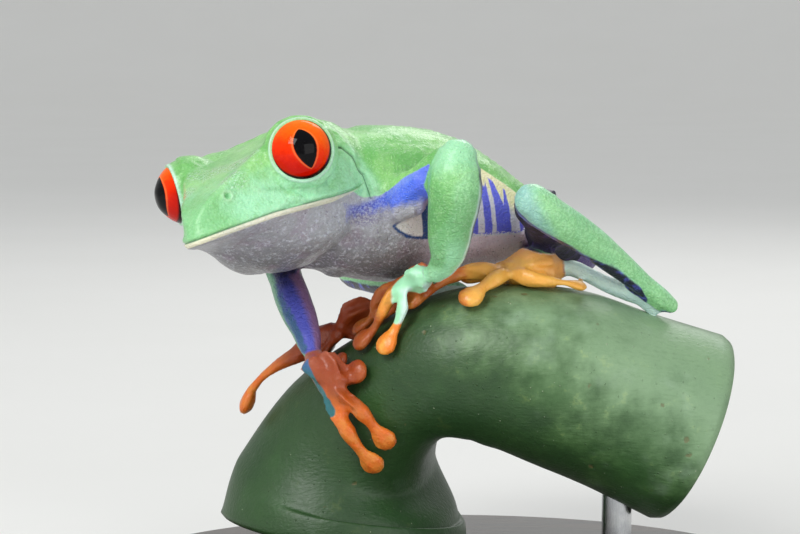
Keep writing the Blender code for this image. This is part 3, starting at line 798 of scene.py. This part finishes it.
    # shank: green above, pale seam, navy beneath; along part of the near shank the navy reaches higher,
    # painted shade for the dark gap above the tarsus
    x, y = look.along(p, (1, 0, 0)), look.along(p, (0, 1, 0))
    low = outer - (step(x, 13.5, 18.0) - step(x, 20.2, 21.4)) * 0.62 * close - far * 0.24
    beneath = tint(step(blot, 0.0, 0.3), t["navy"], t["bar"])
    shank = tint(step(low + fine * 0.15, -0.32, -0.22), beneath, colour)
    shank = look.layers(shank, t, [
        (bell(low + 0.28, 0.06) * 0.5, "mint"),
        # painted shade: the near knee's end is tinted bluish
        (step(x + (z - 43) * 0.5 + wob, 10.4, 8.4) * close * 0.3, "haze")])
    tarsus = tint(step(outer + wob * 0.2, -0.3, 0.4), t["frost"], t["white"])
    for part, its, wavy in (("fore", foreSide, 0.3), ("thigh", thigh, 0.4), ("shank", shank, 0.3),
                            ("tarsus", tarsus, 0.3)):
        body = tint(step(look.stored(part) + edge * wavy, -0.15, 0.15), body, its)

    # hands and feet: the palms and the toes tucked behind the near arm are painted darker red as shade, the
    # far paws redder as painted shade, the near foot yellower as painted light
    behind = look.most(step(y + wob, -7.2, -6.2), step(x, -4.2, -3.4) * step(z, 34.9, 34.2))
    behind = behind * step(x + wob, 2.8, 0.6) * close
    farPalmShade = step(z + blot * 3 + x * 0.25, 18.2, 21.0) * step(x, -19.5, -16.5)
    paw = tint(step(broad + blot, -0.2, 0.25), t["orange"], t["amber"])
    paw = look.layers(paw, t, [
        (far * (step(z + blot * 4, 20, 31) * 0.3 + 0.45), "emberAndShade"),
        (step(x + wob * 0.4, 1.2, 2.2) * close * (1 - behind) * 0.7, "litSaffron"),
        (behind * 0.75, "brickShade"),
        (far * farPalmShade * (0.34 + step(x, -7.5, -10.0) * 0.5), "brickShade"),
        (step(digits, 2.6, 0.4) * 0.2, "rose"),
        (step(look.noise(p, 2.6, 3), 0.1, 0.3) * 0.3, "emberAndShade")])
    isPaw = step(digits + edge * 0.8, -0.3, 0.3)
    # the arm's green runs on along the far hand's edge and down one finger of the near hand
    cuffed = step(look.stored("cuff") + wob * 0.3, 0.62, 0.42)
    paw = tint(cuffed, paw, tint(step(z + wob, 24.5, 27.0) * 0.4, t["sea"], t["bar"]))
    wrapped = step(look.stored("finger") + wob * 0.3, 0.15, -0.15) * close
    paw = tint(wrapped, paw, tint(step(front + wob * 0.15, -0.6, 0.0), t["white"], t["mint"]))
    body = tint(isPaw, body, paw)

    # wet glints on the snout's ridges and round the brows
    sheen = None
    outwards = look.size(look.along(p, headLeft, headAt))
    for at, wide in skinMarks["glints"]:
        hit = bell(f - at[0], wide) * bell(u - at[2], 1.4) * bell(outwards - at[1], wide)
        sheen = hit if sheen is None else look.most(sheen, hit)
    sheen = step(sheen, 0.1, 0.55)
    # relief: granules on the green, creases on the throat, soft pads
    smoothPart = look.most(isPaw, head * 0.5)
    height = (1 - step(grain, 0.02, 0.62)) * 0.06 * (1 - smoothPart)
    height = height + (1 - step(tiny, 0.0, 0.4)) * 0.018
    crease = look.cells(look.stretch(p, (1.0, 1.0, 1.6)), 1.1, "DISTANCE_TO_EDGE")
    height = height + step(crease, 0.0, 0.16) * 0.03 * (1 - isGreen) * (1 - isPaw)
    height = height + look.noise(p, 2.7, 2) * sheen * 0.25
    height = height + look.noise(p, 0.9, 4) * 0.12 + look.noise(p, 1.9, 3) * head * 0.2 + fine * head * 0.04
    gloss = 0.40 + fine * 0.12 - granules * 0.08 + (1 - isGreen) * 0.08 - isPaw * 0.06
    dull = step(look.stored("thigh"), -0.5, 0.5) * step(lift, 0.4, 0.0)
    # painted highlight: the glint spots are whitened in the colour as well
    body = tint(sheen * head * step(fine + wob * 0.5, 0.0, 0.2) * 0.5, body, t["white"])
    wet = {"Coat Weight": head * 0.16 + 0.2 - dull * 0.2 + sheen * 0.4}
    return look.finish(body, gloss + dull * 0.4 - sheen * head * 0.12, height, **wet)


skin.data.materials.clear()
skin.data.materials.append(skinLook())

# eyes: a glossy ball, upright spindle pupil, iris from orange above to deep red below
eyeShape = dict(segments=96, rings=64, bulge=0.10, corneaTop=12, corneaEnd=34,
                pupil=dict(left=(-0.05, 0.34, 0.60, -0.04), right=(0.14, 0.46, 0.62, 0.03)))
eyeTone = dict(top=tone(255, 126, 22), right=tone(255, 98, 6), left=tone(248, 54, 2), low=tone(206, 20, 0),
               ring=tone(255, 150, 80), pupil=tone(6, 5, 8), edge=tone(34, 4, 6))


def eyeFrame(side):
    out = eyeAxis(side)
    up = (headUp - headUp.dot(out) * out).normalized()
    nose = up.cross(out)
    if nose.dot(headFwd) < 0:
        nose = -nose
    return out, nose, up


def eyeLook(side):
    look = Look("eye_" + side, {"Coat Weight": 0.85, "Coat Roughness": 0.02, "Coat IOR": 1.27,
                                "Specular IOR Level": 0.0})
    t = eyeTone
    step, tint = look.step, look.tint
    out, nose, up = eyeFrame(side)
    p = look.place()
    radius = eyeSpot["radius"]
    a = look.along(p, out, eyeMid[side]) / radius
    h = look.along(p, nose, eyeMid[side]) / radius
    v = look.along(p, up, eyeMid[side]) / radius
    ray = look.noise(p, 2.4, 4, 0.6)
    spots = look.noise(p, 4.0, 3)
    veins = look.cells(p, 3.2, "DISTANCE_TO_EDGE")
    h0, wide, tall, v0 = eyeShape["pupil"][side]
    span = 1 - ((v - v0) / tall) ** 2
    # half width of the spindle at this height, less how far off its middle line the point is
    within = look.most(span, 0.0) ** 0.8 * (v * 0.10 + wide) + spots * 0.02 - look.size(h - h0)
    within = within + look.least(span, 0.0) * 0.6
    shade = v * 0.75 - h * 0.45 + ray * 0.35
    iris = tint(step(shade, -0.55, 0.0), t["low"], t["left"])
    iris = look.layers(iris, t, [
        (step(shade, -0.05, 0.38), "right"),
        (step(shade, 0.38, 0.8), "top"),
        (step(spots, 0.05, 0.3) * 0.25, "left"),
        (step(veins, 0.06, 0.0) * 0.2, "low"),
        (look.bell(within + 0.035, 0.03) * 0.4, "ring"),
        (step(within, -0.012, 0.012), "pupil"),
        # the ball darkens towards the lids: the iris's own dark edge, and painted shade under the lids
        (step(a + v * 0.09 + h * 0.05, 0.56, 0.48), "edge")])
    return look.finish(iris, 0.28 + spots * 0.1)


def makeEye(side):
    out = eyeFrame(side)[0]
    bm = bmesh.new()
    bmesh.ops.create_uvsphere(bm, u_segments=eyeShape["segments"], v_segments=eyeShape["rings"],
                              radius=eyeSpot["radius"])
    for v in bm.verts:
        angle = math.degrees(v.co.angle(Vector((0, 0, 1))))
        raised = 1 - float(step(angle, eyeShape["corneaTop"], eyeShape["corneaEnd"]))
        v.co *= 1 + eyeShape["bulge"] / eyeSpot["radius"] * raised
    turn = out.to_track_quat("Z", "Y").to_matrix().to_4x4()
    bmesh.ops.transform(bm, matrix=Matrix.Translation(eyeMid[side]) @ turn, verts=bm.verts)
    eye = toObject(bm, "eyeball_" + side)
    eye.data.materials.append(eyeLook(side))
    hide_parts("eye_" + side)
    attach(eye, "root")


for side in eyeMid:
    makeEye(side)
print("eyes made")

# perch: the cut stem, up one leg and over the arch; each key is x, y, z and radius
perchShape = dict(sides=80, rings=90, facets=20, inset=0.05, bendAt=2.6, pinch=0.3, ridge=0.07, waves=7,
                  seed=5, endTuck=0.35, cutRings=[(0.7, 0.0), (1.2, 0.12), (2.5, 0.0), (2.5, -0.1)],
                  spots=160)
stemKeys = [(-11.3, 5.3, 5.8, 14.0), (-10.6, 5.5, 10.5, 13.0), (-8.5, 3.9, 16.4, 10.5),
            (-3.7, -0.5, 22.5, 8.2), (1.2, -3.0, 25.2, 8.4), (6.2, -4.0, 25.5, 9.0),
            (12.1, -4.3, 24.3, 9.8), (18.3, -3.5, 21.9, 10.05), (26.2, -2.4, 18.6, 10.8)]


def spline(keys, t):
    # Catmull-Rom through the keys, t from 0 to their number less one
    keys = np.array(keys)
    whole = np.vstack([2 * keys[0] - keys[1], keys, 2 * keys[-1] - keys[-2]])
    i = min(max(int(t), 0), len(keys) - 2)
    a, b, c, d = whole[i:i + 4]
    w = t - i
    bend, twist = 2 * a - 5 * b + 4 * c - d, 3 * b - a - 3 * c + d
    return 0.5 * (2 * b + (c - a) * w + bend * w * w + twist * w ** 3)


def stemFrame(t):
    last = len(stemKeys) - 1
    p = spline(stemKeys, t)
    ahead, behind = spline(stemKeys, min(t + 0.01, last)), spline(stemKeys, max(t - 0.01, 0))
    along = Vector((ahead - behind)[:3]).normalized()
    front = Vector((0, -1, 0))
    front = (front - front.dot(along) * along).normalized()
    return Vector(p[:3]), p[3], front, front.cross(along)


def makePerch():
    rng = np.random.default_rng(perchShape["seed"])
    sides, rings, last = perchShape["sides"], perchShape["rings"], len(stemKeys) - 1
    waves = [(int(rng.integers(3, 15)), rng.uniform(0, 6.3), rng.uniform(0.3, 1))
             for _ in range(perchShape["waves"])]
    # between the corners and the flats of the stem's solid, which has so many facets
    flat = math.cos(math.pi / perchShape["facets"]) ** 0.5
    bm = bmesh.new()
    rows = []
    for i in range(rings + 1):
        t = last * i / rings
        centre, r, front, crest = stemFrame(t)
        made = bmesh.ops.create_circle(bm, segments=sides, radius=1)["verts"]
        rows.append(made)
        pinch = perchShape["pinch"] * math.exp(-(t - perchShape["bendAt"]) ** 2)
        tight = min(i, rings - i) == 0
        for k, v in enumerate(made):
            w = 2 * math.pi * k / sides
            wave = sum(size * math.sin(n * w + turn + 0.35 * t * (n % 3 - 1)) for n, turn, size in waves)
            relief = -perchShape["ridge"] * (0.5 - 0.12 * wave) - perchShape["endTuck"] * tight
            inner = min(math.cos(w), 0) ** 2
            out = r * (1 - pinch * inner) * flat - perchShape["inset"] + relief
            v.co = centre + (crest * math.cos(w) + front * math.sin(w)) * out
    for a, b in zip(rows, rows[1:]):
        edges = [bm.edges.get((row[k], row[(k + 1) % sides])) for row in (a, b) for k in range(sides)]
        bmesh.ops.bridge_loops(bm, edges=edges)
    for row in (rows[0], rows[-1]):
        cap = bm.faces.new(row)
        bmesh.ops.recalc_face_normals(bm, faces=[cap])
        for thick, sink in perchShape["cutRings"]:
            bmesh.ops.inset_region(bm, faces=[cap], thickness=thick, depth=sink, use_even_offset=True)
        bmesh.ops.poke(bm, faces=[cap])
    bmesh.ops.recalc_face_normals(bm, faces=bm.faces)
    perch = toObject(bm, "perchStem")
    co = points(perch.data) / mm
    # how deep inside the rind each point lies, as a share of the radius; only the cut ends go deep
    spots = perchShape["spots"]
    mids = [stemFrame(last * i / spots) for i in range(spots + 1)]
    away = np.linalg.norm(co[:, None] - np.array([list(m[0]) for m in mids])[None], axis=2)
    near = np.argmin(away, axis=1)
    core = away.min(1) / np.array([m[1] for m in mids])[near]
    store(perch.data, "core", np.where((near == 0) | (near == spots), core, 1))
    return perch


perchTone = dict(
    base=tone(88, 128, 70), deep=tone(52, 92, 44), light=tone(132, 162, 118), haze=tone(140, 164, 142),
    blotch=tone(150, 172, 88), speck=tone(186, 200, 168), brown=tone(108, 96, 60), pale=tone(150, 180, 146),
    darkShade=tone(30, 62, 28), pith=tone(206, 212, 164), straw=tone(176, 186, 118), rind=tone(84, 116, 60))


def perchLook():
    look = Look("stemRind", {"Coat Weight": 0.15, "Coat Roughness": 0.35, "Specular IOR Level": 0.45})
    t = perchTone
    step, tint = look.step, look.tint
    p = look.place()
    core = look.stored("core")
    broad = look.noise(p, 0.12, 4)
    blot = look.noise(p, 0.42, 4, 0.6)
    fine = look.noise(p, 2.2, 3)
    lit = look.along(p, (0.6, -0.3, 0.75)) + broad * 22 + blot * 8
    dots, scars = look.cells(p, 1.1), look.cells(p, 0.28)
    few = step(look.noise(p, 0.2, 2), 0.0, 0.15)
    fibres = look.noise(look.stretch(p, (0.5, 2.4, 2.4)), 1.4, 3)
    colour = tint(step(broad + blot * 0.5, -0.22, 0.22), t["deep"], t["base"])
    colour = look.layers(colour, t, [
        # painted light: higher up and towards the front the stem is lighter
        (step(look.along(p, (0, -0.25, 1)) + blot * 8, 26, 36) * 0.5, "light"),
        (step(blot + fine * 0.3, 0.12, 0.26) * 0.55, "blotch"),
        (step(look.noise(p, 0.3, 3), 0.05, 0.25) * 0.4, "haze"),
        # painted light where the stem faces up, right and front, painted shade on the far side
        (step(lit, 26, 38) * 0.6, "pale"),
        (step(lit, 34, 23) * 0.85, "darkShade"),
        (step(look.noise(p, 0.09, 3), 0.0, 0.2) * 0.7, "deep"),
        (step(dots + fine * 0.2, 0.12, 0.04) * few * 0.6, "speck"),
        (step(scars + fine * 0.2, 0.10, 0.05) * 0.6, "brown"),
        (step(fibres, 0.0, 0.3) * 0.18, "deep")])
    # the sawn ends: pale pith with fine rings and dots
    rings = look.maths("SINE", core * 46 + broad * 6) * 0.5 + 0.5
    cut = tint(rings * 0.35 + fine * 0.2, t["pith"], t["straw"])
    cut = look.layers(cut, t, [
        (step(look.cells(p, 1.6), 0.22, 0.1) * 0.5, "rind"),
        (step(core + fine * 0.05, 0.74, 0.86), "rind")])
    colour = tint(step(core, 0.93, 0.88), colour, cut)
    height = fibres * 0.06 + fine * 0.05 + step(dots, 0.14, 0.05) * 0.06
    height = height - step(scars, 0.12, 0.04) * 0.08
    return look.finish(colour, 0.46 + fine * 0.15, height)


perch = makePerch()
perch.data.materials.append(perchLook())
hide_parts("perch_stem")
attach(perch, "root")
print("perch made")

# stand: an oval plinth and two rods with collars
standShape = dict(sides=128, rodSides=48, rim=0.8, collar=(2.5, 1.1), edge=0.3, fillet=0.15, gap=0.02)


def makeBase():
    low, high = (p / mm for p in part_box("stand_base"))
    bm = bmesh.new()
    bmesh.ops.create_circle(bm, cap_ends=True, segments=standShape["sides"], radius=1)
    bmesh.ops.scale(bm, verts=bm.verts, vec=((high.x - low.x) / 2, (high.y - low.y) / 2, 1))
    made = bmesh.ops.extrude_face_region(bm, geom=bm.faces[:])
    top = [g for g in made["geom"] if isinstance(g, bmesh.types.BMVert)]
    bmesh.ops.translate(bm, verts=top, vec=(0, 0, high.z))
    rim = [e for e in bm.edges if all(v in top for v in e.verts)]
    bmesh.ops.bevel(bm, geom=rim, offset=standShape["rim"], segments=5, profile=0.5, affect="EDGES",
                    material=-1)
    bmesh.ops.recalc_face_normals(bm, faces=bm.faces)
    base = toObject(bm, "standPlinth", sharp=40)
    base.data.materials.append(plinthLook())
    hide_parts("stand_base")
    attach(base, "root")


def plinthLook():
    look = Look("plinthWood", {"Coat Weight": 0.6, "Coat Roughness": 0.12})
    p = look.place()
    step, tint = look.step, look.tint
    warp = look.noise(look.stretch(p, (0.06, 0.5, 0.5)), 0.6, 3)
    rings = look.maths("SINE", look.along(p, (0.05, 1.0, 0.4)) * 1.5 + warp * 16) * 0.5 + 0.5
    pores = look.noise(look.stretch(p, (0.35, 6.0, 6.0)), 1.0, 3)
    colour = tint(rings, tone(34, 22, 16), tone(62, 40, 26))
    colour = tint(step(pores, 0.08, 0.25) * 0.6, colour, tone(16, 10, 8))
    return look.finish(colour, 0.36 + pores * 0.1, step(pores, 0.25, 0.05) * 0.02)


def rodLook():
    look = Look("rodSteel", {"Metallic": 1.0, "Anisotropic": 0.4})
    p = look.place()
    brush = look.noise(look.stretch(p, (6.0, 6.0, 0.15)), 1.0, 3)
    wear = look.noise(p, 0.5, 3)
    colour = look.tint(look.step(wear, -0.2, 0.3), tone(176, 178, 182), tone(206, 207, 208))
    return look.finish(colour, 0.26 + brush * 0.22, brush * 0.008)


def makeRod(name):
    low, high = (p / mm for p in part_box(name))
    x, y = (low.x + high.x) / 2, (low.y + high.y) / 2
    r = (high.x - low.x) / 2
    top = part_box("stand_base")[1].z / mm
    wide, tall = standShape["collar"]
    edge, fillet, foot = standShape["edge"], standShape["fillet"], top + standShape["gap"]
    tall += top
    outline = [(0, low.z), (r, low.z), (r, foot), (wide, foot), (wide, tall - edge), (wide - edge, tall),
               (r + fillet, tall), (r, tall + fillet), (r, high.z - edge), (r - edge, high.z), (0, high.z)]
    bm = turned(outline, standShape["rodSides"])
    bmesh.ops.translate(bm, verts=bm.verts, vec=(x, y, 0))
    rod = toObject(bm, name.replace("stand_rod_", "standRod_"), sharp=35)
    rod.data.materials.append(rodLook())
    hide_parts(name)
    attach(rod, "root")


makeBase()
for name in nodes:
    if name.startswith("stand_rod"):
        makeRod(name)
print("stand made")

# camera, light and backdrop
view = dict(at=(-5.0, -270.57, 64.18), tilt=84, lens=113.49, sensor=36)
camera = bpy.data.objects.new("camera", bpy.data.cameras.new("camera"))
bpy.context.scene.collection.objects.link(camera)
camera.data.sensor_width, camera.data.lens = view["sensor"], view["lens"]
camera.location = Vector(view["at"]) * mm
camera.rotation_euler = (math.radians(view["tilt"]), 0, 0)
camera.data.clip_start = 0.01
bpy.context.scene.camera = camera
bpy.context.scene.view_settings.view_transform = "Standard"

studio = dict(floor=1.1, wall=1.2, curve=0.5, gap=0.0001, paper=tone(208, 208, 204), glow=0.17, ambient=0.5,
              aim=(0, 0, 0.035),
              lights=dict(key=((-0.20, -0.24, 0.30), 0.18, 1.05), fill=((0.26, -0.34, 0.10), 0.34, 0.55),
                          back=((0.10, 0.32, 0.30), 0.20, 0.5)))
world = bpy.data.worlds.new("world")
bpy.context.scene.world = world
world.use_nodes = True
world.node_tree.nodes["Background"].inputs[0].default_value = (0.93, 0.96, 1.0, 1)
world.node_tree.nodes["Background"].inputs[1].default_value = studio["ambient"]


def makeBackdrop():
    # a round cove: floor, quarter curve and wall
    flat, curve, steps = studio["floor"], studio["curve"], 12
    outline = [(0, 0), (flat, 0)]
    for i in range(1, steps + 1):
        w = math.pi / 2 * i / steps
        outline.append((flat + curve * math.sin(w), curve * (1 - math.cos(w))))
    outline.append((flat + curve, studio["wall"]))
    bm = turned(outline, 96)
    bmesh.ops.translate(bm, verts=bm.verts, vec=(0, 0, -studio["gap"]))
    cove = toObject(bm, "backdrop", unit=1)
    look = Look("paper", {
        "Roughness": 0.9, "Emission Color": (1, 1, 1, 1), "Emission Strength": studio["glow"]})
    grain = look.noise(look.place(), 0.02, 3)
    cove.data.materials.append(look.finish(look.tint(grain + 0.5, studio["paper"], tone(213, 213, 210))))


makeBackdrop()
for name, (at, size, watts) in studio["lights"].items():
    light = bpy.data.objects.new(name, bpy.data.lights.new(name, "AREA"))
    bpy.context.scene.collection.objects.link(light)
    light.data.size, light.data.energy = size, watts
    light.location = at
    light.rotation_euler = (Vector(at) - Vector(studio["aim"])).to_track_quat("Z", "Y").to_euler()
